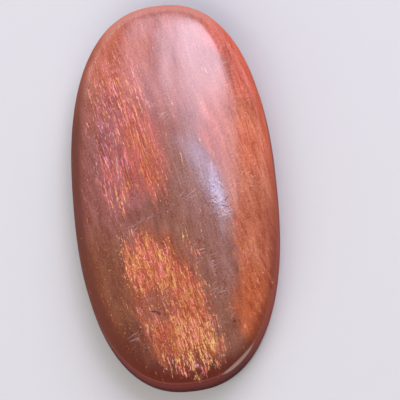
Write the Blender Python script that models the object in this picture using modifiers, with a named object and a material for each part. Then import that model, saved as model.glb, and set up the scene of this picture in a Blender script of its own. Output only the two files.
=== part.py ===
"""A polished oval sunstone cabochon: one stone with a domed top, a plain girdle wall and a flat back.

Metres, +Z up. The stone lies on its flat back at z = 0, with its length along Y and its origin under its middle.
"""

import math

import bmesh
import bpy
from mathutils import Vector

MM = 0.001

# Driving sizes
LENGTH = 53.0 * MM
WIDTH = 26.5 * MM
HEIGHT = 9.2 * MM
WALL_HEIGHT = 3.6 * MM
WALL_LEAN = math.radians(2.0)
BACK_CHAMFER = 0.55 * MM
EDGE_ROUNDING = 0.35 * MM

# How the oval and the dome are shaped
OVAL_POWER = 2.38
DOME_SWEEP = 0.93
DOME_FULLNESS = 0.80

# How finely the stone is faceted
SIDES = 108
DOME_RINGS = 20
ROUNDING_STEPS = 4
WALL_RINGS = 4
BACK_RINGS = 3

HALF_LENGTH = LENGTH / 2
HALF_WIDTH = WIDTH / 2
DOME_HEIGHT = HEIGHT - WALL_HEIGHT
MERGE = 0.001 * MM
SHARP_ANGLE = math.radians(35)


def clear_scene():
    for old in list(bpy.data.objects):
        bpy.data.objects.remove(old, do_unlink=True)


def new_collection(name):
    made = bpy.data.collections.new(name)
    bpy.context.scene.collection.children.link(made)
    return made


def stone_material():
    """Orange brown feldspar with a high polish."""
    material = bpy.data.materials.new("sunstone")
    material.use_nodes = True
    shader = material.node_tree.nodes["Principled BSDF"]
    shader.inputs["Base Color"].default_value = (0.42, 0.13, 0.055, 1.0)
    shader.inputs["Roughness"].default_value = 0.12
    shader.inputs["Metallic"].default_value = 0.0
    return material


def dome_point(share):
    """(radius, height) of the dome's cross-section, from the crown at share 0 to the edge at share 1."""
    last = math.asin(DOME_SWEEP)
    angle = share * last
    rise = (math.cos(angle) - math.cos(last)) / (1 - math.cos(last))
    return HALF_WIDTH * math.sin(angle) / DOME_SWEEP, WALL_HEIGHT + DOME_HEIGHT * rise


def rounded(before, corner, after):
    """Points of a smooth bend that replaces a corner, starting and ending EDGE_ROUNDING from it."""
    corner = Vector(corner)
    start = corner + (Vector(before) - corner).normalized() * EDGE_ROUNDING
    end = corner + (Vector(after) - corner).normalized() * EDGE_ROUNDING
    bend = []
    for i in range(ROUNDING_STEPS + 1):
        t = i / ROUNDING_STEPS
        bend.append(tuple(start * (1 - t) ** 2 + corner * 2 * t * (1 - t) + end * t**2))
    return bend


def cross_section():
    """Half of the stone's cross-section across its middle: down the dome, down the wall, then in along the back."""
    dome = [dome_point(i / DOME_RINGS) for i in range(DOME_RINGS + 1)]
    edge = dome[-1]
    foot = HALF_WIDTH + WALL_HEIGHT * math.tan(WALL_LEAN)
    above_foot = (foot, BACK_CHAMFER)
    beside_foot = (foot - BACK_CHAMFER, 0.0)

    points = [p for p in dome if edge[0] - p[0] > EDGE_ROUNDING]
    points += rounded(dome[-2], edge, above_foot)
    wall_top = Vector(points[-1])
    for i in range(1, WALL_RINGS):
        points.append(tuple(wall_top.lerp(Vector(above_foot), i / WALL_RINGS)))
    points += [above_foot, beside_foot]
    for i in range(1, BACK_RINGS + 1):
        points.append((beside_foot[0] * (1 - i / BACK_RINGS), 0.0))
    return points


def turned_blank(collection):
    """The cross-section turned into a round blank."""
    points = cross_section()
    mesh = bpy.data.meshes.new("blank")
    edges = [(i, i + 1) for i in range(len(points) - 1)]
    mesh.from_pydata([(x, 0.0, z) for x, z in points], edges, [])
    blank = bpy.data.objects.new("blank", mesh)
    collection.objects.link(blank)
    screw = blank.modifiers.new("turn", "SCREW")
    screw.axis = "Z"
    screw.angle = 2 * math.pi
    screw.steps = SIDES
    screw.render_steps = SIDES
    screw.use_merge_vertices = True
    screw.merge_threshold = MERGE
    screw.use_smooth_shade = True
    return blank


def to_oval(point):
    """Where a point of the round blank lies on the oval stone."""
    radius = math.hypot(point.x, point.y)
    if radius < MERGE:
        return point.copy()
    across = point.x / radius
    along = point.y / radius
    squareness = (abs(across) ** OVAL_POWER + abs(along) ** OVAL_POWER) ** (-1 / OVAL_POWER)
    if radius < HALF_WIDTH:
        reach = HALF_LENGTH * (radius / HALF_WIDTH) ** DOME_FULLNESS
    else:
        reach = HALF_LENGTH + radius - HALF_WIDTH
    return Vector((across * radius * squareness, along * reach * squareness, point.z))


def frozen(source, name, collection):
    """A plain mesh object from what the source's modifiers give, which is then removed."""
    evaluated = source.evaluated_get(bpy.context.evaluated_depsgraph_get())
    mesh = bpy.data.meshes.new_from_object(evaluated)
    mesh.name = name
    made = bpy.data.objects.new(name, mesh)
    made.matrix_world = source.matrix_world
    collection.objects.link(made)
    bpy.data.objects.remove(source, do_unlink=True)
    return made


def main():
    clear_scene()
    parts = new_collection("sunstone_cabochon")
    stone = frozen(turned_blank(parts), "stone", parts)
    for vertex in stone.data.vertices:
        vertex.co = to_oval(vertex.co)
    shaper = bmesh.new()
    shaper.from_mesh(stone.data)
    bmesh.ops.remove_doubles(shaper, verts=shaper.verts, dist=MERGE)
    bmesh.ops.recalc_face_normals(shaper, faces=shaper.faces)
    shaper.to_mesh(stone.data)
    shaper.free()
    stone.data.shade_smooth()
    stone.data.set_sharp_from_angle(angle=SHARP_ANGLE)
    stone.data.materials.append(stone_material())


main()
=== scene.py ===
import math

import bpy
from mathutils import Matrix, Vector, noise


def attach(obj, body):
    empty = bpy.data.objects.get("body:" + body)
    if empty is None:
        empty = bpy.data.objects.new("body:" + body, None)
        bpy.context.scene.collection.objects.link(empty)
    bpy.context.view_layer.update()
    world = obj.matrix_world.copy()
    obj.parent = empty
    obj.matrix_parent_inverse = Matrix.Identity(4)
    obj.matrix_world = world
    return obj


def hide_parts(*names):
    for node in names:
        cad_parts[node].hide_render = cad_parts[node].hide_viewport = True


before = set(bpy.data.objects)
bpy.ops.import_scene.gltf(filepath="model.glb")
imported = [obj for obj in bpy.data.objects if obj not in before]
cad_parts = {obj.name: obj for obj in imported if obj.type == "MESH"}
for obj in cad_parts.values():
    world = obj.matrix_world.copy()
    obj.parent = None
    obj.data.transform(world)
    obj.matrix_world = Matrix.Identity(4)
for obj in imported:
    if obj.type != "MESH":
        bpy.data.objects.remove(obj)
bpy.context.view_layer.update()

MM = 0.001

# The stone's form, as the CAD has it, in millimetres
LENGTH = 53.0
WIDTH = 26.5
HEIGHT = 9.2
WALL_HEIGHT = 3.6
WALL_LEAN = math.radians(2.0)
OVAL_POWER = 2.38
DOME_SWEEP = 0.93
DOME_FULLNESS = 0.80
HALF_LENGTH = LENGTH / 2
HALF_WIDTH = WIDTH / 2

# What the fine surface adds to it, in millimetres
EDGE_ROUNDING = 0.42
FOOT_BEVEL = 0.55
FOOT_ROUNDING = 0.16

# The unevenness of hand polishing: its depth, its spacing, how far it is drawn out along the stone,
# the slice of the noise that it is cut from, and how far above the wall it reaches its full depth
POLISH_DEPTH = 0.022
POLISH_SPACING = 7.0
POLISH_DRAW = 0.55
POLISH_SLICE = 3.1
POLISH_FADE = 0.8

# The small flat ground on the edge: where it starts and ends round the stone, its tilt, its depth,
# how suddenly it ends, and the depth of grinding at which the ground look is full
FLAT_START = math.radians(-77.0)
FLAT_END = math.radians(-47.0)
FLAT_TILT = math.radians(13.0)
FLAT_DEPTH = 0.115
FLAT_POWER = 1.8
GROUND_DEPTH = 0.03

# How finely the mesh is divided
SIDES = 400
DOME_RINGS = 96
ROUNDING_STEPS = 14
WALL_RINGS = 14
FOOT_STEPS = 4
BACK_RINGS = 8


def srgb(red, green, blue):
    """Linear colour of an 8-bit screen colour, by the sRGB standard."""
    linear = []
    for value in (red, green, blue):
        share = value / 255
        linear.append(share / 12.92 if share <= 0.04045 else ((share + 0.055) / 1.055) ** 2.4)
    return (*linear, 1.0)


# Form of the stone

def dome_point(share):
    """(radius, height) of the dome's cross-section, from the crown at share 0 to the edge at share 1."""
    last = math.asin(DOME_SWEEP)
    angle = share * last
    rise = (math.cos(angle) - math.cos(last)) / (1 - math.cos(last))
    return HALF_WIDTH * math.sin(angle) / DOME_SWEEP, WALL_HEIGHT + (HEIGHT - WALL_HEIGHT) * rise


def bend(before, corner, after, distance, steps):
    """Points of a smooth bend that replaces a corner, starting and ending that distance from it."""
    corner = Vector(corner)
    start = corner + (Vector(before) - corner).normalized() * distance
    end = corner + (Vector(after) - corner).normalized() * distance
    points = []
    for i in range(steps + 1):
        t = i / steps
        points.append(start * (1 - t) ** 2 + corner * 2 * t * (1 - t) + end * t**2)
    return points


def cross_section():
    """Half of the cross-section: from the crown down the dome and the wall, then in along the back."""
    dome = [Vector(dome_point(i / DOME_RINGS)) for i in range(DOME_RINGS + 1)]
    edge = dome[-1]
    foot = HALF_WIDTH + WALL_HEIGHT * math.tan(WALL_LEAN)
    above_foot = Vector((foot, FOOT_BEVEL))
    beside_foot = Vector((foot - FOOT_BEVEL, 0.0))

    points = [p for p in dome if edge.x - p.x > EDGE_ROUNDING]
    points += bend(dome[-2], edge, above_foot, EDGE_ROUNDING, ROUNDING_STEPS)
    wall_top = points[-1]
    for i in range(1, WALL_RINGS):
        points.append(wall_top.lerp(above_foot, i / WALL_RINGS))
    points += bend(wall_top, above_foot, beside_foot, FOOT_ROUNDING, FOOT_STEPS)
    points += bend(above_foot, beside_foot, Vector((0, 0)), FOOT_ROUNDING, FOOT_STEPS)
    inner = points[-1].x
    for i in range(1, BACK_RINGS):
        points.append(Vector((inner * (1 - i / BACK_RINGS), 0.0)))
    return points


def small_flat(point, bearing):
    """The point once the little flat is ground on the edge, and how much the grinding took off there."""
    share = (bearing - FLAT_START) / (FLAT_END - FLAT_START)
    if not 0 < share < 1:
        return point, 0.0
    normal = Vector((math.cos(FLAT_TILT), math.sin(FLAT_TILT)))
    depth = FLAT_DEPTH * (1 - abs(2 * share - 1) ** FLAT_POWER)
    proud = (point - Vector((HALF_WIDTH, WALL_HEIGHT))).dot(normal) + depth
    if proud <= 0:
        return point, 0.0
    return point - normal * proud, proud


def to_oval(radius, bearing):
    """Where the point of the round blank lies on the oval stone, seen from above."""
    across = math.cos(bearing)
    along = math.sin(bearing)
    squareness = (abs(across) ** OVAL_POWER + abs(along) ** OVAL_POWER) ** (-1 / OVAL_POWER)
    if radius < HALF_WIDTH:
        reach = HALF_LENGTH * (radius / HALF_WIDTH) ** DOME_FULLNESS
    else:
        reach = HALF_LENGTH + radius - HALF_WIDTH
    return across * radius * squareness, along * reach * squareness


def polish_hollow(x, y):
    """How far hand polishing took the dome down there, in millimetres, never less than zero."""
    place = Vector((x, y * POLISH_DRAW, POLISH_SLICE)) / POLISH_SPACING
    return POLISH_DEPTH * (0.5 + 0.5 * noise.noise(place))


def surface_point(point, bearing):
    """Where a point of the cross-section lies on the finished stone, and how ground it looks there."""
    moved, cut = small_flat(point, bearing)
    x, y = to_oval(moved.x, bearing)
    z = moved.y
    if point.y > WALL_HEIGHT:
        z -= polish_hollow(x, y) * min(1.0, (point.y - WALL_HEIGHT) / POLISH_FADE)
    return (x * MM, y * MM, z * MM), min(1.0, cut / GROUND_DEPTH)


def ring_faces(rings):
    """Faces between the crown, that many rings of SIDES points each, and the middle of the back."""
    first = 1
    last_ring = first + (rings - 1) * SIDES
    bottom = last_ring + SIDES
    faces = []
    for side in range(SIDES):
        after = (side + 1) % SIDES
        faces.append((0, first + side, first + after))
        faces.append((last_ring + side, bottom, last_ring + after))
    for upper in range(first, last_ring, SIDES):
        lower = upper + SIDES
        for side in range(SIDES):
            after = (side + 1) % SIDES
            faces.append((upper + side, lower + side, lower + after, upper + after))
    return faces


def stone_mesh():
    rings = cross_section()[1:]
    vertices = [(0.0, 0.0, (HEIGHT - polish_hollow(0, 0)) * MM)]
    ground = [0.0]
    for point in rings:
        for side in range(SIDES):
            bearing = 2 * math.pi * side / SIDES
            if bearing > math.pi:
                bearing -= 2 * math.pi
            place, grinding = surface_point(point, bearing)
            vertices.append(place)
            ground.append(grinding)
    vertices.append((0.0, 0.0, 0.0))
    ground.append(0.0)

    mesh = bpy.data.meshes.new("polished_stone")
    mesh.from_pydata(vertices, [], ring_faces(len(rings)))
    mesh.attributes.new("ground", "FLOAT", "POINT").data.foreach_set("value", ground)
    mesh.shade_smooth()
    mesh.update()
    return mesh


# Building node trees

class Tree:
    """Adds nodes to a material's or a light's tree.

    A value may be a number, a colour, a vector or a socket.
    """

    def __init__(self, tree):
        self.tree = tree
        tree.nodes.clear()

    def node(self, kind, inputs=None, **settings):
        made = self.tree.nodes.new(kind)
        for name, value in settings.items():
            setattr(made, name, value)
        for key, value in (inputs or {}).items():
            self.feed(made.inputs[key], value)
        return made

    def feed(self, socket, value):
        if isinstance(value, bpy.types.NodeSocket):
            self.tree.links.new(value, socket)
        else:
            socket.default_value = value

    def math(self, operation, a, b=0.0):
        return self.node("ShaderNodeMath", {0: a, 1: b}, operation=operation).outputs[0]

    def plus(self, a, b):
        return self.math("ADD", a, b)

    def minus(self, a, b):
        return self.math("SUBTRACT", a, b)

    def times(self, a, b):
        return self.math("MULTIPLY", a, b)

    def largest(self, a, b):
        return self.math("MAXIMUM", a, b)

    def vector(self, operation, a, b=(0.0, 0.0, 0.0), scale=1.0):
        inputs = {0: a, 1: b, 3: scale}
        return self.node("ShaderNodeVectorMath", inputs, operation=operation).outputs[0]

    def ramp(self, value, low, high, to_low=0.0, to_high=1.0):
        """Smooth step of a value between two limits."""
        limits = {"Value": value, "From Min": low, "From Max": high, "To Min": to_low, "To Max": to_high}
        return self.node("ShaderNodeMapRange", limits, interpolation_type="SMOOTHSTEP").outputs[0]

    def mix(self, share, a, b, blend="MIX"):
        inputs = {0: share, 6: a, 7: b}
        return self.node("ShaderNodeMix", data_type="RGBA", blend_type=blend, inputs=inputs).outputs[2]

    def split(self, vector):
        return self.node("ShaderNodeSeparateXYZ", {0: vector}).outputs

    def join(self, x, y, z):
        return self.node("ShaderNodeCombineXYZ", {0: x, 1: y, 2: z}).outputs[0]

    def noise(self, place, scale, detail, roughness):
        inputs = {"Vector": place, "Scale": scale, "Detail": detail, "Roughness": roughness}
        return self.node("ShaderNodeTexNoise", inputs).outputs

    def palette(self, value, stops):
        """A colour ramp through (position, colour) stops."""
        made = self.node("ShaderNodeValToRGB", {0: value})
        ramp = made.color_ramp
        while len(ramp.elements) < len(stops):
            ramp.elements.new(0.5)
        for element, (position, colour) in zip(ramp.elements, stops):
            element.position = position
            element.color = colour
        return made.outputs[0]


# The middle of a noise's range, and what brings the spread of plain noise to about 1 either way
NOISE_MIDDLE = 0.5
STRAND_SWING = 7.5

# Half the height of a soft oval, so great that it reaches right through the stone
THROUGH = 1000.0


def turned(tree, place, angle):
    """The place in a frame turned about the upright."""
    inputs = {"Vector": place, "Rotation": (0.0, 0.0, angle)}
    return tree.node("ShaderNodeMapping", inputs, vector_type="POINT").outputs[0]


def clouds(tree, place, cycles, detail, roughness):
    """Noise with so many cycles a millimetre across, along and up."""
    return tree.noise(tree.vector("MULTIPLY", place, cycles), 1.0, detail, roughness)


def soft_oval(tree, place, middle, half, turn, softness):
    """1 inside the oval, 0 outside, with a soft border."""
    fitted = tree.node("ShaderNodeMapping", {
        "Vector": place,
        "Location": (*middle, 0.0),
        "Rotation": (0.0, 0.0, math.radians(turn)),
        "Scale": (*half, THROUGH),
    }, vector_type="TEXTURE").outputs[0]
    distance = tree.node("ShaderNodeVectorMath", {0: fitted}, operation="LENGTH").outputs["Value"]
    return tree.ramp(distance, 1 - softness, 1 + softness, 1.0, 0.0)


def ovals(tree, place, patches, softness):
    """Largest of several soft ovals, each given by its middle, half sizes and turn."""
    result = 0.0
    for middle, half, turn in patches:
        result = tree.largest(result, soft_oval(tree, place, middle, half, turn, softness))
    return result


def strands(tree, run, size, shift):
    """Noise drawn out to strands of a width, length and depth, about 0 on average, seldom beyond 2."""
    place = tree.vector("ADD", run, shift)
    place = tree.vector("MULTIPLY", place, tuple(1 / side for side in size))
    value = tree.noise(place, 1.0, 0.0, 0.5)[0]
    return tree.times(tree.minus(value, NOISE_MIDDLE), STRAND_SWING)


def total(tree, shares):
    """Sum of (weight, value) pairs."""
    result = 0.0
    for weight, value in shares:
        result = tree.plus(result, tree.times(value, weight))
    return result


def layered(tree, run, layers):
    """Sum of several kinds of strand, each given by its weight, size and shift."""
    return total(tree, [(weight, strands(tree, run, size, shift)) for weight, size, shift in layers])


# The frames that the stone's look is laid out in

# The flakes' run: this far round from the stone's length, towards +X at its near end
FLAKE_TURN = math.radians(12.0)

# Noises: cycles a millimetre across, along and up, detail, roughness
SWAY = ((0.12, 0.09, 0.1), 1.0, 0.5)
FRAY = ((1.1, 0.22, 0.5), 3.0, 0.6)
CLOUD = ((0.22, 0.16, 0.3), 3.0, 0.55)

# How far the run sways sideways. Its lengthways shift, which makes the flakes shorter towards the
# near end: from one place along the stone to another, and the shift at each
SWAY_REACH = 1.4
SHORTENING = (-2.0, -32.0, 0.0, -19.0)

# The spread that fraying gives to the borders between the zones: across, along and up
FRAY_REACH = (3.0, 6.0, 0.0)


class Spot:
    """A place on the stone, in millimetres, and where it lies in the other frames."""

    def __init__(self, tree):
        metres = tree.node("ShaderNodeTexCoord").outputs["Object"]
        self.place = tree.vector("MULTIPLY", metres, (1 / MM,) * 3)
        self.across, self.along, self.height = tree.split(self.place)

        sideways = tree.times(tree.minus(clouds(tree, self.place, *SWAY)[0], NOISE_MIDDLE), SWAY_REACH)
        lengthways = tree.ramp(self.along, *SHORTENING)
        straight = turned(tree, self.place, -FLAKE_TURN)
        self.run = tree.vector("ADD", straight, tree.join(sideways, lengthways, 0.0))

        fray = tree.vector("SUBTRACT", clouds(tree, self.run, *FRAY)["Color"], (NOISE_MIDDLE,) * 3)
        self.fray = tree.vector("MULTIPLY", fray, FRAY_REACH)
        self.frayed = tree.vector("ADD", self.place, self.fray)


# The cloudy stone under the flakes

WINDOW_BROWN = srgb(147, 90, 64)
WINDOW_GREY = srgb(154, 99, 81)
UPPER_BODY = srgb(174, 88, 62)
UPPER_LEFT = srgb(204, 108, 80)
FAR_LEFT = srgb(208, 108, 64)
# Lightened as a painted highlight at the far top, over the stone's own colour
FAR_TOP_HIGHLIGHT = srgb(196, 112, 96)
# This colour and the next three are the stone's own orange with a painted glow of light shining through
# the thin stone on the right
PAINTED_GLOW_ORANGE = srgb(204, 104, 72)
RIGHT_RIM_GLOW = srgb(224, 108, 80)
RIGHT_UPPER_GLOW = srgb(234, 126, 88)
RIGHT_ORANGE = srgb(200, 110, 72)
RIGHT_LOW = srgb(182, 88, 52)
DEEP_ORANGE = srgb(202, 98, 46)
LEFT_GROUND = srgb(166, 95, 89)
CORE_GROUND = srgb(184, 92, 70)
LEFT_SHOULDER = srgb(188, 106, 80)
LEFT_MARGIN = srgb(156, 90, 76)
LOWER_GROUND = srgb(170, 84, 50)
GAP_BROWN = srgb(142, 84, 66)
PATCH_BROWN = srgb(160, 88, 62)
BROWN = srgb(137, 76, 46)
DARK_BROWN = srgb(112, 52, 28)
NEAR_BROWN = srgb(108, 44, 24)
# Pale and dark streaks lengthways through the upper body, where the highlight lies
PALE_STREAK = srgb(196, 148, 146)
DARK_STREAK = srgb(150, 58, 44)

# Zones of the stone in plan, in millimetres:
# name, middle, half sizes, turn in degrees, softness, strength, colour
ZONES = [
    ("upper body", (1.5, 18.0), (10.5, 12.0), 0, 0.40, 1.0, UPPER_BODY),
    ("far left", (-6.5, 20.5), (5.0, 5.5), 30, 0.45, 0.9, FAR_LEFT),
    # The far top is lightened as a painted highlight
    ("far top", (-0.5, 23.2), (4.5, 2.6), 0, 0.50, 0.8, FAR_TOP_HIGHLIGHT),
    # The next five zones are the stone's orange on the right with a painted glow of light shining through
    # it; the first also carries painted reflection
    ("glow", (8.2, 6.8), (3.5, 7.2), 0, 0.40, 1.0, PAINTED_GLOW_ORANGE),
    ("right rim", (12.2, 10.5), (2.6, 11.5), 8, 0.45, 1.0, RIGHT_RIM_GLOW),
    ("right orange", (11.5, -6.0), (4.1, 17.0), 3, 0.25, 1.0, RIGHT_ORANGE),
    ("right upper", (11.0, 4.6), (2.3, 4.2), 0, 0.60, 0.7, RIGHT_UPPER_GLOW),
    ("far right", (8.8, 20.8), (3.0, 4.0), 40, 0.50, 0.9, RIGHT_RIM_GLOW),
    ("right low rim", (12.4, -12.0), (1.5, 9.0), 6, 0.50, 0.9, RIGHT_LOW),
    ("right end", (9.6, -18.5), (2.6, 6.0), 0, 0.40, 0.9, DEEP_ORANGE),
    ("left field", (-6.0, 6.5), (4.8, 12.5), -4, 0.35, 1.0, LEFT_GROUND),
    ("left core", (-3.0, 5.0), (2.6, 8.0), 10, 0.35, 0.9, CORE_GROUND),
    ("upper left", (-6.2, 17.0), (3.6, 5.0), 20, 0.50, 0.75, UPPER_LEFT),
    ("left shoulder", (-10.2, 11.2), (1.7, 3.2), 10, 0.50, 0.80, LEFT_SHOULDER),
    ("left margin", (-12.0, 0.5), (3.3, 14.0), 0, 0.35, 0.9, LEFT_MARGIN),
    ("lower left", (-9.3, -17.0), (5.0, 11.5), 8, 0.35, 1.0, BROWN),
    ("bottom left", (-6.0, -23.0), (4.5, 4.5), 20, 0.45, 0.9, DARK_BROWN),
    ("lower field", (-1.2, -17.2), (4.5, 10.2), 16, 0.25, 1.0, LOWER_GROUND),
    ("near end", (-0.5, -26.2), (9.0, 2.4), 0, 0.50, 0.9, NEAR_BROWN),
    ("gap", (-3.4, -5.0), (3.6, 1.5), 12, 0.50, 0.9, GAP_BROWN),
    ("brown patch", (-3.0, -17.0), (1.9, 1.9), 0, 0.50, 0.9, PATCH_BROWN),
    # Pale and dark streaks lengthways through the upper body, where the highlight lies
    ("pale vein", (0.5, 16.5), (0.55, 7.0), 3, 0.90, 0.2, PALE_STREAK),
    ("dark vein", (-0.5, 19.0), (0.50, 4.5), 2, 0.90, 0.35, DARK_STREAK),
    ("second dark vein", (2.1, 18.5), (0.40, 4.0), 0, 0.90, 0.5, DARK_STREAK),
]

# The limits between which the cloud turns the stone from brown to grey
CLOUD_LIMITS = (0.35, 0.65)

# The body's grain: weight, (width, length, depth) in millimetres, and a shift that sets it apart
GRAIN = [
    (0.055, (0.9, 6.0, 4.0), (3.0, 1.0, 4.0)),
    (0.05, (0.30, 2.4, 3.0), (9.0, 7.0, 2.0)),
    (0.085, (0.17, 0.24, 0.6), (5.0, 3.0, 6.0)),
]

# More grain on the right: size and shift, and its weight from one place across the stone to another
COMBED = ((0.30, 2.4, 3.0), (19.0, 4.0, 7.0))
COMBED_ACROSS = (6.5, 9.5, 0.0, 0.06)

# How much of the grain shows in the body's red, green and blue
GRAIN_SHARES = (1.0, 1.9, 2.6)


def body_colour(tree, spot):
    """Colour of the cloudy stone under its flakes, with a painted glow on the right and a painted
    highlight at the far top.
    """
    cloud = clouds(tree, spot.place, *CLOUD)[0]
    colour = tree.mix(tree.ramp(cloud, *CLOUD_LIMITS), WINDOW_BROWN, WINDOW_GREY)
    for _, *patch, strength, tone in ZONES:
        mask = soft_oval(tree, spot.frayed, *patch)
        colour = tree.mix(tree.times(mask, strength), colour, tone)
    combed = tree.times(strands(tree, spot.run, *COMBED), tree.ramp(spot.across, *COMBED_ACROSS))
    grain = tree.plus(layered(tree, spot.run, GRAIN), combed)
    shares = [tree.plus(1.0, tree.times(grain, share)) for share in GRAIN_SHARES]
    return tree.vector("MULTIPLY", colour, tree.join(*shares))


# The flakes

# Where they glitter: middle, half sizes, turn in degrees, softness, strength
FLAKE_FIELDS = [
    ((-5.8, 10.8), (4.2, 8.2), 8, 0.40, 0.63),
    ((-3.3, 5.4), (2.3, 7.8), 12, 0.40, 0.86),
    ((-6.6, 1.4), (2.8, 4.8), 12, 0.40, 0.74),
    ((-4.3, -11.2), (2.8, 4.8), 19, 0.35, 1.0),
    ((-1.6, -13.2), (2.5, 4.6), 14, 0.40, 0.92),
    ((-0.4, -17.6), (4.4, 6.6), 14, 0.35, 0.94),
    ((2.1, -10.0), (0.5, 3.2), 14, 0.50, 0.60),
    ((0.9, -22.2), (4.4, 3.7), 12, 0.28, 0.88),
    ((9.2, -11.5), (1.8, 7.0), 6, 0.50, 0.50),
]

# Special places among them: middle, half sizes, turn in degrees, softness
SPARSE_PATCH = ((-3.0, -17.0), (1.8, 1.9), 0, 0.45)
BRIGHT_END = ((0.4, -24.9), (4.2, 2.0), 0, 0.5)
PALE_BORDER = ((-4.2, -19.5), (1.7, 4.8), 20, 0.5)

# The share of the flakes that the sparse patch lacks, and of the violet that the pale border has
SPARSE_SHARE = 0.62
PALE_SHARE = 0.7

# Thin strands of several lengths laid over one another: weight, size, shift
WEAVE = [
    (0.38, (0.50, 6.0, 5.0), (0.0, 0.0, 0.0)),
    (0.68, (0.20, 3.0, 4.0), (7.0, 3.0, 1.0)),
    (0.78, (0.16, 1.5, 3.0), (2.0, 9.0, 5.0)),
    (0.58, (0.13, 0.45, 1.0), (4.0, 2.0, 8.0)),
]

# The flakes cover the body more and more as the weave, with the field's push and a pull that is the
# same everywhere, rises between these limits
FIELD_PUSH = 4.4
FIELD_PULL = -3.4
COVER_LIMITS = (-1.3, 1.7)

# Finer changes among the flakes: the weave's share in them, and strands of their own
WEAVE_SHARE = 0.68
FINE = [(0.56, (0.12, 0.44, 0.8), (8.0, 6.0, 13.0))]

# Where the flakes are violet: from one place across or along the stone to another, share at each
VIOLET_ACROSS = (-8.6, -4.2, 1.0, 0.0)
VIOLET_NEAR = (-5.0, 3.0, 0.3, 1.0)
VIOLET_FAR = (6.0, 13.0, 1.0, 0.3)

# How a flake's place on the palette of colours is found: strands, the fine changes' share, the
# palette's middle from one place along the stone to another, and what violet takes off
HUES = [
    (0.075, (0.9, 3.5, 4.0), (31.0, 5.0, 8.0)),
    (0.072, (0.40, 1.6, 2.5), (13.0, 25.0, 3.0)),
]
HUE_FINE = 0.02
GOLDEN_ALONG = (8.0, -12.0, 0.47, 0.60)
VIOLET_PULL = -0.15

# The flakes' own colours: violet, pink, red, orange, gold, pale gold
FLAKE_COLOURS = [
    (0.00, srgb(182, 126, 144)),
    (0.22, srgb(220, 118, 112)),
    (0.40, srgb(222, 108, 84)),
    (0.56, srgb(222, 122, 76)),
    (0.76, srgb(221, 137, 68)),
    (1.00, srgb(224, 162, 88)),
]

# How a flake's brightness is found, a painted glitter over the flakes' own colour: its average, its swing
# with the fine changes and what is added to the swing at the bright end and in the violet, and broad and
# tip strands with their weights
BRIGHTNESS = 0.49
SWING = 0.21
SWING_BRIGHT_END = 0.09
SWING_VIOLET = 0.04
BROAD_STRANDS = ((1.5, 2.6, 3.0), (3.0, 17.0, 1.0))
BROAD_SHARE = 0.035
TIP_STRANDS = ((0.13, 0.55, 0.8), (29.0, 3.0, 11.0))
TIP_SHARE = 0.22

# How a flake's brightness changes its colour, from the dark ones to the brightest, whose paleness is
# painted glitter, each as a share of TONE_SCALE
TONE_SCALE = 3.5
FLAKE_TONES = [
    (0.00, (0.100, 0.046, 0.026, 1.0)),
    (0.14, (0.184, 0.114, 0.074, 1.0)),
    (0.30, (0.240, 0.193, 0.157, 1.0)),
    (0.50, (0.285, 0.278, 0.280, 1.0)),
    (0.70, (0.323, 0.380, 0.510, 1.0)),
    (0.86, (0.372, 0.525, 0.820, 1.0)),
    (1.00, (0.445, 0.760, 1.000, 1.0)),
]

# Where the flakes are brighter or darker than elsewhere:
# middle, half sizes, turn in degrees, softness, change
TONE_PATCHES = [
    ((-3.4, -11.5), (2.0, 3.4), 12, 0.6, 0.03),
    ((-2.6, -13.4), (1.6, 1.4), 12, 0.6, -0.07),
    ((1.2, -17.0), (2.6, 1.8), 12, 0.6, -0.09),
    ((1.3, -21.2), (3.0, 2.0), 12, 0.6, 0.17),
    ((0.4, -25.2), (4.4, 2.2), 0, 0.5, -0.26),
    ((-6.5, 12.5), (3.5, 5.0), 0, 0.6, 0.07),
    ((-7.5, 2.0), (3.0, 7.0), 8, 0.6, -0.02),
    ((9.8, -11.5), (3.4, 9.0), 6, 0.4, -0.30),
    ((-3.2, -21.4), (1.9, 2.8), 14, 0.6, -0.36),
    ((-3.6, 0.4), (2.2, 2.4), 0, 0.6, -0.28),
    ((-1.5, 5.2), (1.1, 4.0), 10, 0.5, -0.09),
    ((1.0, -12.2), (2.0, 2.6), 12, 0.6, -0.18),
]

# Painted glints on single flakes: size and shift of their strands, what is added at the bright end and in
# the violet, and the limits of the strands, of the field and of the hue between which they come up
GLINT_STRANDS = ((0.14, 0.9, 1.5), (41.0, 12.0, 6.0))
GLINT_BRIGHT_END = 0.9
GLINT_VIOLET = 0.45
GLINT_LIMITS = (1.7, 2.4)
GLINT_FIELD = (0.1, 0.6)
GLINT_HUE = (-0.2, 0.2)
GLINT_PINK = srgb(252, 196, 206)
GLINT_GOLD = srgb(250, 208, 150)
GLINT_STRENGTH = 0.7


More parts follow.
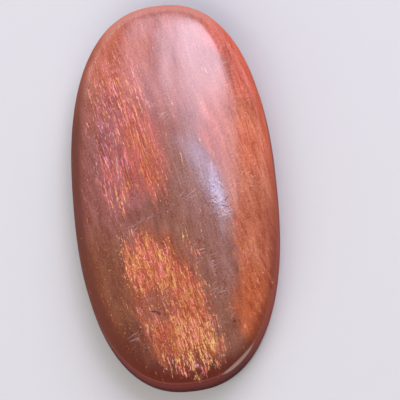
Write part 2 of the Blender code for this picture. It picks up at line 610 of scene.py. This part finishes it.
class Flakes:
    """Where the flakes lie at a place on the stone, and what sets their painted glitter and their colour.
    """

    def __init__(self, tree, spot):
        self.field = self.thickness(tree, spot)
        self.bright_end = soft_oval(tree, spot.place, *BRIGHT_END)
        self.violet = self.violet_share(tree, spot)
        self.weave = layered(tree, spot.run, WEAVE)
        push = tree.plus(tree.times(self.field, FIELD_PUSH), FIELD_PULL)
        self.cover = tree.ramp(tree.plus(self.weave, push), *COVER_LIMITS)
        self.fine = tree.plus(tree.times(self.weave, WEAVE_SHARE), layered(tree, spot.run, FINE))
        self.hue = tree.plus(layered(tree, spot.run, HUES), tree.times(self.fine, HUE_FINE))
        self.glint = self.glint_share(tree, spot)

    def thickness(self, tree, spot):
        """How thick the flakes lie, from 0 to 1."""
        field = 0.0
        for *patch, strength in FLAKE_FIELDS:
            field = tree.largest(field, tree.times(soft_oval(tree, spot.frayed, *patch), strength))
        sparse = tree.times(soft_oval(tree, spot.frayed, *SPARSE_PATCH), SPARSE_SHARE)
        return tree.times(field, tree.minus(1.0, sparse))

    def violet_share(self, tree, spot):
        violet = tree.ramp(spot.across, *VIOLET_ACROSS)
        for fade in (VIOLET_NEAR, VIOLET_FAR):
            violet = tree.times(violet, tree.ramp(spot.along, *fade))
        border = tree.times(soft_oval(tree, spot.place, *PALE_BORDER), PALE_SHARE)
        return tree.largest(violet, border)

    def glint_share(self, tree, spot):
        glint = total(tree, [
            (1.0, strands(tree, spot.run, *GLINT_STRANDS)),
            (GLINT_BRIGHT_END, self.bright_end),
            (GLINT_VIOLET, self.violet),
        ])
        return tree.times(tree.ramp(glint, *GLINT_LIMITS), tree.ramp(self.field, *GLINT_FIELD))

    def brightness(self, tree, spot):
        swing = total(tree, [
            (SWING, 1.0),
            (SWING_BRIGHT_END, self.bright_end),
            (SWING_VIOLET, self.violet),
        ])
        tone = total(tree, [
            (BRIGHTNESS, 1.0),
            (BROAD_SHARE, strands(tree, spot.run, *BROAD_STRANDS)),
            (swing, self.fine),
            (tree.times(self.bright_end, TIP_SHARE), strands(tree, spot.run, *TIP_STRANDS)),
        ])
        for *patch, change in TONE_PATCHES:
            tone = tree.plus(tone, tree.times(soft_oval(tree, spot.place, *patch), change))
        return tone

    def over(self, tree, spot, body):
        """The body's colour with the flakes, their painted glitter and their painted glints over it."""
        golden = tree.plus(tree.ramp(spot.along, *GOLDEN_ALONG), tree.times(self.violet, VIOLET_PULL))
        flake = tree.palette(tree.plus(self.hue, golden), FLAKE_COLOURS)
        flake = tree.mix(1.0, flake, tree.palette(self.brightness(tree, spot), FLAKE_TONES), "MULTIPLY")
        flake = tree.vector("SCALE", flake, scale=TONE_SCALE)
        colour = tree.mix(self.cover, body, flake)
        shine = tree.mix(tree.ramp(self.hue, *GLINT_HUE), GLINT_PINK, GLINT_GOLD)
        return tree.mix(tree.times(self.glint, GLINT_STRENGTH), colour, shine)


# Specks and wear

# Pale dust and gold specks: size and shift of their strands, and the limits between which they come up
DUST_STRANDS = ((0.13, 0.26, 0.5), (22.0, 14.0, 9.0))
DUST_LIMITS = (1.85, 2.4)
DUST_STRENGTH = 0.32
SPECK_STRANDS = ((0.24, 0.5, 1.0), (11.0, 15.0, 26.0))
SPECK_LIMITS = (1.9, 2.3)
SPECK_STRENGTH = 0.6
GOLD_SPECK = srgb(236, 170, 104)

# Where the gold specks lie: middle, half sizes, turn in degrees, softness, and between which heights
# they come up
SPECKLED = ((-8.5, -14.0), (3.6, 10.0), 8, 0.4)
SPECK_HEIGHTS = (4.4, 5.0)

# Clusters of fine scratches: middle, half sizes, turn in degrees
SCRATCHED = [
    ((9.2, -1.8), (3.4, 1.5), 48),
    ((6.5, -5.2), (1.4, 2.4), 0),
    ((1.8, -3.4), (1.8, 0.8), 25),
    ((3.8, -11.8), (1.4, 2.6), 0),
    ((5.2, -15.4), (1.2, 1.0), 0),
    ((-4.0, -6.2), (1.8, 0.8), 10),
    ((8.9, 14.0), (0.8, 4.4), 10),
    ((0.0, 10.0), (1.4, 2.4), 0),
    ((6.0, -18.8), (1.5, 0.7), 25),
    ((-6.5, -21.0), (1.6, 1.2), 20),
]

# The ways the scratches run, in degrees, each with a shift of its own
SCRATCH_RUNS = [(52, (1.0, 6.0, 2.0)), (76, (8.0, 3.0, 5.0))]
DARK_SCRATCH_RUNS = [(50, (15.0, 2.0, 7.0))]
SCRATCH_SIZE = (0.10, 1.5, 2.0)
SCRATCH_LIMITS = (1.65, 2.25)
SCRATCH_STRENGTH = 0.65
DARK_SCRATCH_STRENGTH = 0.55
SCRATCH_PALE = srgb(228, 190, 178)

# Small dark pits and a dark crack: middle, half sizes, turn in degrees
PITS = [
    ((6.6, -19.6), (0.16, 0.16), 0),
    ((-3.5, -17.6), (0.70, 0.10), -12),
    ((-2.9, -17.9), (0.30, 0.16), -30),
    ((-1.4, -9.1), (0.12, 0.12), 0),
    ((4.9, -13.6), (0.12, 0.12), 0),
    ((7.0, -14.1), (0.10, 0.10), 0),
    ((-2.4, -5.6), (0.11, 0.11), 0),
    ((7.2, -3.6), (0.45, 0.08), 55),
    ((6.9, -4.7), (0.35, 0.07), -20),
]
PIT_FRAY = 0.05
PIT_STRENGTH = 0.85
PIT_DARK = srgb(92, 34, 24)
WEAR_SOFTNESS = 0.5


def scratches(tree, place, runs):
    """Short fine straight scratches."""
    strokes = 0.0
    for turn, shift in runs:
        stroke = strands(tree, turned(tree, place, math.radians(turn)), SCRATCH_SIZE, shift)
        strokes = tree.largest(strokes, tree.ramp(stroke, *SCRATCH_LIMITS))
    return strokes


def specks_over(tree, spot, colour):
    """The colour with dust and gold specks over it."""
    dust = tree.ramp(strands(tree, spot.run, *DUST_STRANDS), *DUST_LIMITS)
    colour = tree.mix(tree.times(dust, DUST_STRENGTH), colour, SCRATCH_PALE)
    speck = tree.ramp(strands(tree, spot.run, *SPECK_STRANDS), *SPECK_LIMITS)
    speck = tree.times(speck, soft_oval(tree, spot.place, *SPECKLED))
    speck = tree.times(speck, tree.ramp(spot.height, *SPECK_HEIGHTS))
    return tree.mix(tree.times(speck, SPECK_STRENGTH), colour, GOLD_SPECK)


class Wear:
    """Scratches and pits at a place on the stone."""

    def __init__(self, tree, spot):
        area = ovals(tree, spot.place, SCRATCHED, WEAR_SOFTNESS)
        self.pale = tree.times(scratches(tree, spot.place, SCRATCH_RUNS), area)
        self.dark = tree.times(scratches(tree, spot.place, DARK_SCRATCH_RUNS), area)
        uneven = tree.vector("ADD", spot.place, tree.vector("SCALE", spot.fray, scale=PIT_FRAY))
        self.pit = ovals(tree, uneven, PITS, WEAR_SOFTNESS)

    def over(self, tree, colour):
        """The colour with the scratches and pits over it."""
        colour = tree.mix(tree.times(self.pale, SCRATCH_STRENGTH), colour, SCRATCH_PALE)
        colour = tree.mix(tree.times(self.dark, DARK_SCRATCH_STRENGTH), colour, PIT_DARK)
        return tree.mix(tree.times(self.pit, PIT_STRENGTH), colour, PIT_DARK)


# The rim and the wall, with painted glow and painted shade

RIM_NEAR = srgb(100, 36, 17)
# Painted glow of light shining through the thin rim, also laid on the right of the wall
RIM_GLOW = srgb(198, 80, 42)
RIM_DULL = srgb(150, 73, 48)
# Painted glow along the far rim
FAR_RIM_GLOW = srgb(206, 112, 78)
# Painted shade on the left rim
RIM_SHADE = srgb(110, 52, 34)
# Painted shade on the wall, deepening to the next colour at its foot
WALL_SHADE = srgb(112, 34, 24)
WALL_FOOT_SHADE = srgb(66, 7, 4)
# A painted highlight along the rounded edge at the near end
EDGE_HIGHLIGHT = srgb(176, 104, 90)
GROUND_FLAT = srgb(172, 138, 122)

# Fades from one place across, along or up the stone to another, in millimetres, and the share at each
# Where the left rim's painted shade lies
DARK_ACROSS = (-11.0, -4.0, 1.0, 0.0)
DARK_ALONG = (8.0, 18.0, 1.0, 0.0)
DULL_ACROSS = (-7.0, 1.0, 1.0, 0.0)
DULL_ALONG = (-14.0, 0.0, 0.0, 1.0)
# Where the rim's painted glow comes in along the stone
GLOW_ALONG = (-14.0, 8.0, 0.0, 1.0)
FAR_ALONG = (19.0, 25.0, 0.0, 1.0)
RIM_BAND = (5.2, 3.9, 0.0, 1.0)
RIM_ACROSS = (6.0, 11.0, 0.9, 0.6)
# Heights over which the wall's painted shade comes in and deepens towards the foot
WALL_SHADE_BAND = (3.7, 3.1, 0.0, 1.0)
FOOT_SHADE_BAND = (3.0, 0.9, 0.0, 1.0)
# Where the right of the wall is painted lighter with the rim's glow colour: painted light
LIT_WALL_BAND = (3.8, 3.4, 0.0, 1.0)
LIT_WALL_ACROSS = (6.0, 12.0, 0.0, 0.5)

# How much higher up the rim's colour starts on the left, where it is painted shade, and how much of it the
# flakes hide
RIM_RISE = 0.8
RIM_HIDDEN = 0.6

# The painted highlight along the rounded edge: its height, its share at a distance from that height, and
# its share along the stone
EDGE_HEIGHT = 3.62
EDGE_BAND = (0.0, 0.16, 1.0, 0.0)
EDGE_ALONG = (-23.0, -12.0, 0.32, 0.0)


def dark_left(tree, spot):
    """1 on the left side, where the rim is painted darker as shade and is less polished, and 0 elsewhere.
    """
    return tree.times(tree.ramp(spot.across, *DARK_ACROSS), tree.ramp(spot.along, *DARK_ALONG))


def rim_colour(tree, spot, dark):
    """Colour of the rim: dark at the near end, painted shade on the left, dull at the far left, and a
    painted glow of light through the thin edge on the right and at the far end.
    """
    dull = tree.times(tree.ramp(spot.across, *DULL_ACROSS), tree.ramp(spot.along, *DULL_ALONG))
    rim = tree.mix(tree.ramp(spot.along, *GLOW_ALONG), RIM_NEAR, RIM_GLOW)
    rim = tree.mix(dull, rim, RIM_DULL)
    rim = tree.mix(tree.ramp(spot.along, *FAR_ALONG), rim, FAR_RIM_GLOW)
    return tree.mix(dark, rim, RIM_SHADE)


def sides_over(tree, spot, flakes, dark, ground, colour):
    """The colour with the rim, the wall's painted shade that darkens towards its foot, a painted glow on
    the wall's right, and a painted highlight along the near end's edge over it.
    """
    # The rim with its painted glow and painted shade
    rim_height = tree.minus(spot.height, tree.times(dark, RIM_RISE))
    share = tree.times(tree.ramp(rim_height, *RIM_BAND), tree.ramp(spot.across, *RIM_ACROSS))
    share = tree.times(share, tree.minus(1.0, tree.times(flakes.cover, RIM_HIDDEN)))
    colour = tree.mix(share, colour, rim_colour(tree, spot, dark))
    # The wall's painted shade, darkest at its foot
    colour = tree.mix(tree.ramp(spot.height, *WALL_SHADE_BAND), colour, WALL_SHADE)
    colour = tree.mix(tree.ramp(spot.height, *FOOT_SHADE_BAND), colour, WALL_FOOT_SHADE)
    # Painted light on the right of the wall
    warm = tree.ramp(spot.height, *LIT_WALL_BAND)
    warm = tree.times(warm, tree.ramp(spot.across, *LIT_WALL_ACROSS))
    colour = tree.mix(warm, colour, RIM_GLOW)
    # A painted highlight along the rounded edge at the near end
    off_edge = tree.math("ABSOLUTE", tree.minus(spot.height, EDGE_HEIGHT))
    edge = tree.times(tree.ramp(off_edge, *EDGE_BAND), tree.ramp(spot.along, *EDGE_ALONG))
    colour = tree.mix(edge, colour, EDGE_HIGHLIGHT)
    return tree.mix(ground, colour, GROUND_FLAT)


# The polish

# Where the polish is rubbed fine and matt: middle, half sizes, turn in degrees
RUBBED = [((5.6, -2.5), (1.8, 4.5), 14), ((9.0, 12.0), (1.2, 5.0), 8), ((3.5, 8.0), (2.0, 5.0), 10)]
RUBBED_SOFTNESS = 0.6

# Grits: cycles a millimetre, detail, roughness
GRIT = (3.0, 2.0, 0.6)
FINE_GRIT = (7.0, 1.0, 0.5)
COARSE_GRIT = (2.8, 1.0, 0.5)

# The matt wall: the heights that it fades in between, how much higher it starts on the dark left,
# how much lower at the far end, and where along the stone the far end comes in
SATIN_BAND = (5.5, 4.2)
SATIN_LEFT = -1.5
SATIN_FAR = 0.7
SATIN_FAR_ALONG = (20.0, 24.5)
SATIN_ROUGHNESS = 0.5

# The limits of the weave between which flakes turn metallic, and how metallic they get
GLITTER_LIMITS = (0.0, 1.6)
GLITTER_METAL = 0.15

# Roughness of the body under its coat, between two limits of the grit
BODY_ROUGHNESS = (0.3, 0.7, 0.20, 0.30)

# What each of these adds to a height: the rubbed grain from fine and coarse grit; the body's relief
# from the weave, grit, pale scratches and pits; the coat's from grit, fine grit, rubbed grain, pale
# scratches and pits
RUBBED_SHARES = (0.8, 2.2)
RELIEF_SHARES = (0.3, 0.8, 1.5, -4.0)
POLISH_SHARES = (0.10, 0.18, 0.9, 1.6, -3.0)

# How strongly the two bumps show, and the height that a value of 1 stands for in them
BODY_BUMP = 0.35
COAT_BUMP = 0.25
BUMP_HEIGHT = 0.02 * MM

SHADER_CONSTANTS = {
    "IOR": 1.6,
    "Specular IOR Level": 0.38,
    "Subsurface Weight": 0.08,
    "Subsurface Radius": (1.0, 0.35, 0.18),
    "Subsurface Scale": 0.6 * MM,
    "Coat Roughness": 0.05,
    "Coat IOR": 1.62,
}


def bump(tree, strength, height):
    inputs = {"Strength": strength, "Distance": BUMP_HEIGHT, "Height": height}
    return tree.node("ShaderNodeBump", inputs).outputs[0]


def stone_material():
    """Cloudy feldspar with glittering flakes under a clear polish, which is matt on the wall."""
    material = bpy.data.materials.new("polished_sunstone")
    material.use_nodes = True
    tree = Tree(material.node_tree)
    spot = Spot(tree)
    flakes = Flakes(tree, spot)
    wear = Wear(tree, spot)
    dark = dark_left(tree, spot)
    ground = tree.node("ShaderNodeAttribute", attribute_name="ground").outputs["Fac"]

    colour = flakes.over(tree, spot, body_colour(tree, spot))
    colour = wear.over(tree, specks_over(tree, spot, colour))
    colour = sides_over(tree, spot, flakes, dark, ground, colour)

    grit = tree.noise(spot.place, *GRIT)[0]
    fine_grit = tree.noise(spot.place, *FINE_GRIT)[0]
    coarse_grit = tree.noise(spot.place, *COARSE_GRIT)[0]
    rubbed = total(tree, zip(RUBBED_SHARES, (fine_grit, coarse_grit)))
    rubbed = tree.times(rubbed, ovals(tree, spot.place, RUBBED, RUBBED_SOFTNESS))
    relief = total(tree, zip(RELIEF_SHARES, (flakes.weave, grit, wear.pale, wear.pit)))
    polish = total(tree, zip(POLISH_SHARES, (grit, fine_grit, rubbed, wear.pale, wear.pit)))

    far_end = tree.ramp(spot.along, *SATIN_FAR_ALONG)
    satin_height = total(tree, [(1.0, spot.height), (SATIN_LEFT, dark), (SATIN_FAR, far_end)])
    satin = tree.largest(tree.ramp(satin_height, *SATIN_BAND), ground)
    roughness = tree.plus(tree.ramp(grit, *BODY_ROUGHNESS), tree.times(satin, SATIN_ROUGHNESS))
    glitter = tree.times(flakes.cover, tree.ramp(flakes.weave, *GLITTER_LIMITS))
    glitter = tree.largest(glitter, flakes.glint)

    shader = tree.node("ShaderNodeBsdfPrincipled", {
        "Base Color": colour,
        "Metallic": tree.times(glitter, GLITTER_METAL),
        "Roughness": roughness,
        "Normal": bump(tree, BODY_BUMP, relief),
        "Coat Weight": tree.minus(1.0, satin),
        "Coat Normal": bump(tree, COAT_BUMP, polish),
        **SHADER_CONSTANTS,
    })
    tree.node("ShaderNodeOutputMaterial", {"Surface": shader.outputs[0]})
    return material


def add_stone():
    stone = bpy.data.objects.new("polished_stone", stone_mesh())
    bpy.context.scene.collection.objects.link(stone)
    stone.data.materials.append(stone_material())
    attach(stone, "root")
    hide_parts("stone")


# Stage

# Bearings are turned from +Y towards +X. Places on the softbox are in metres: rightward, upward
LIGHT_BEARING = math.radians(22.0)
LIGHT_ELEVATION = math.radians(36.0)
LIGHT_DISTANCE = 600 * MM
SOFTBOX_MIDDLE = (-0.12, 0.0)
SOFTBOX_SIZE = (1.14, 0.90)
SOFTBOX_POWER = 1.65
SOFT_COLOUR = (0.84, 0.79, 1.0, 1.0)
STRIP_COLOUR = (0.45, 0.58, 0.94, 1.0)

# Soft patches of its light: name, middle, half sizes, turn in degrees, softness, brightness
SOFT_PATCHES = [
    ("core", (0.03, -0.07), (0.19, 0.225), -15, 0.40, 5.6),
    ("middle", (-0.03, -0.03), (0.225, 0.29), -8, 0.22, 2.15),
    ("veil", (-0.24, -0.04), (0.37, 0.37), 0, 0.50, 2.8),
    ("fold", (-0.205, 0.03), (0.040, 0.25), -12, 0.60, 1.75),
    ("dark side", (-0.29, -0.05), (0.035, 0.22), -12, 0.60, -0.9),
    ("glow", (0.26, 0.07), (0.10, 0.20), -10, 0.60, 3.3),
    ("haze", (-0.02, 0.22), (0.22, 0.09), -5, 0.70, 1.9),
    ("strip tail", (0.265, 0.315), (0.040, 0.045), -14, 0.60, 3.0),
]
STRIP_PATCHES = [
    ("strip", (0.12, 0.295), (0.18, 0.024), -14, 0.75, 9.2),
    ("strip end", (0.213, 0.271), (0.07, 0.021), -14, 0.60, 17.0),
    ("strip haze", (0.10, 0.215), (0.16, 0.05), -14, 0.70, 1.8),
]

# The softbox's lower sides, each a line with the light above it:
# slope, height at the middle, width of the soft border
SOFTBOX_SIDES = [(0.0, -0.42, 0.14), (0.74, -0.325, 0.02)]

# The middle of a panel, as shares of its two sides
PANEL_MIDDLE = (0.5, 0.5, 0.0)

# A brightness too small to see, which keeps the share of two lights from being nothing over nothing
FAINT = 0.001

# A broad fill from the near side, which is not mirrored in the polish
FILL_BEARING = math.radians(205.0)
FILL_ELEVATION = math.radians(35.0)
FILL_DISTANCE = 900 * MM
FILL_SIZE = (1.4, 0.8)
FILL_POWER = 7.5
FILL_COLOUR = (1.0, 0.94, 0.96)

SURROUNDINGS = (0.86, 0.84, 0.92, 1.0)
SURROUNDINGS_STRENGTH = 0.26
FLOOR_SIZE = 6.0
FLOOR_COLOUR = srgb(222, 223, 216)
FLOOR_ROUGHNESS = 0.9

# The camera, from the fit of the stone's outline in the photo
AIM = Vector((3.33, -1.56, 3.0)) * MM
CAMERA_DISTANCE = 400 * MM
CAMERA_BEARING = math.radians(180.0 - 11.1)
CAMERA_ELEVATION = math.radians(69.0)
CAMERA_ROLL = math.radians(-17.1)
SENSOR = 36.0
FOCAL_PIXELS = 3068.0
IMAGE_PIXELS = 400
CLIP_START = 0.01
CLIP_END = 20.0


def direction(bearing, elevation):
    """Unit vector that points that way from the stone."""
    level = math.cos(elevation)
    return Vector((math.sin(bearing) * level, math.cos(bearing) * level, math.sin(elevation)))


def placed(point, right, up, back):
    """Matrix that puts a thing at a point with these directions as its X, Y and Z."""
    return Matrix.Translation(point) @ Matrix((right, up, back)).transposed().to_4x4()


def light_patches(tree, spot, patches):
    """Brightness of the light at a place on it, from its soft patches."""
    glow = 0.0
    for _, *patch, brightness in patches:
        glow = tree.plus(glow, tree.times(soft_oval(tree, spot, *patch), brightness))
    return glow


def softbox_nodes(tree):
    """The softbox's graded light: brighter in some patches than in others, with a slanting lower side."""
    share = tree.node("ShaderNodeNewGeometry").outputs["Parametric"]
    spot = tree.vector("SUBTRACT", share, PANEL_MIDDLE)
    spot = tree.vector("MULTIPLY", spot, (*SOFTBOX_SIZE, 0.0))
    spot = tree.vector("ADD", spot, (*SOFTBOX_MIDDLE, 0.0))
    right, up, _ = tree.split(spot)
    inside = 1.0
    for slope, start, width in SOFTBOX_SIDES:
        beyond = tree.minus(tree.minus(up, tree.times(right, slope)), start)
        inside = tree.times(inside, tree.ramp(beyond, 0.0, width))
    soft = light_patches(tree, spot, SOFT_PATCHES)
    strip = light_patches(tree, spot, STRIP_PATCHES)
    both = tree.plus(soft, strip)
    colour = tree.mix(tree.math("DIVIDE", strip, tree.plus(both, FAINT)), SOFT_COLOUR, STRIP_COLOUR)
    emission = tree.node("ShaderNodeEmission", {"Color": colour, "Strength": tree.times(both, inside)})
    tree.node("ShaderNodeOutputLight", {"Surface": emission.outputs[0]})


def area_light(name, size, power):
    """A rectangular panel of light, which the camera doesn't see."""
    data = bpy.data.lights.new(name, "AREA")
    data.shape = "RECTANGLE"
    data.size, data.size_y = size
    data.energy = power
    light = bpy.data.objects.new(name, data)
    light.visible_camera = False
    bpy.context.scene.collection.objects.link(light)
    return light


def softbox():
    outward = direction(LIGHT_BEARING, LIGHT_ELEVATION)
    rightward = outward.cross(Vector((0, 0, 1))).normalized()
    upward = rightward.cross(outward).normalized()
    middle = outward * LIGHT_DISTANCE + rightward * SOFTBOX_MIDDLE[0] + upward * SOFTBOX_MIDDLE[1]
    light = area_light("softbox", SOFTBOX_SIZE, SOFTBOX_POWER)
    light.matrix_world = placed(middle, rightward, upward, outward)
    light.data.use_nodes = True
    softbox_nodes(Tree(light.data.node_tree))


def near_fill():
    """A broad panel that softens the shade on the stone's near end."""
    outward = direction(FILL_BEARING, FILL_ELEVATION)
    light = area_light("near_fill", FILL_SIZE, FILL_POWER)
    light.location = outward * FILL_DISTANCE
    light.rotation_euler = outward.to_track_quat("Z", "Y").to_euler()
    light.data.color = FILL_COLOUR
    light.visible_glossy = False


def add_lights():
    softbox()
    near_fill()
    world = bpy.data.worlds.new("surroundings")
    world.use_nodes = True
    background = world.node_tree.nodes["Background"]
    background.inputs["Color"].default_value = SURROUNDINGS
    background.inputs["Strength"].default_value = SURROUNDINGS_STRENGTH
    bpy.context.scene.world = world


def add_floor():
    bpy.ops.mesh.primitive_plane_add(size=FLOOR_SIZE)
    floor = bpy.context.object
    floor.name = "floor"
    material = bpy.data.materials.new("pale_floor")
    material.use_nodes = True
    shader = material.node_tree.nodes["Principled BSDF"]
    shader.inputs["Base Color"].default_value = FLOOR_COLOUR
    shader.inputs["Roughness"].default_value = FLOOR_ROUGHNESS
    floor.data.materials.append(material)


def add_camera():
    back = direction(CAMERA_BEARING, CAMERA_ELEVATION)
    level = Vector((0, 0, 1)).cross(back).normalized()
    upright = back.cross(level)
    right = level * math.cos(CAMERA_ROLL) + upright * math.sin(CAMERA_ROLL)
    up = upright * math.cos(CAMERA_ROLL) - level * math.sin(CAMERA_ROLL)
    data = bpy.data.cameras.new("camera")
    data.sensor_width = SENSOR
    data.lens = SENSOR * FOCAL_PIXELS / IMAGE_PIXELS
    data.clip_start = CLIP_START
    data.clip_end = CLIP_END
    camera = bpy.data.objects.new("camera", data)
    camera.matrix_world = placed(AIM + back * CAMERA_DISTANCE, right, up, back)
    bpy.context.scene.collection.objects.link(camera)
    bpy.context.scene.camera = camera


add_stone()
add_floor()
add_lights()
add_camera()
bpy.context.scene.view_settings.view_transform = "Standard"
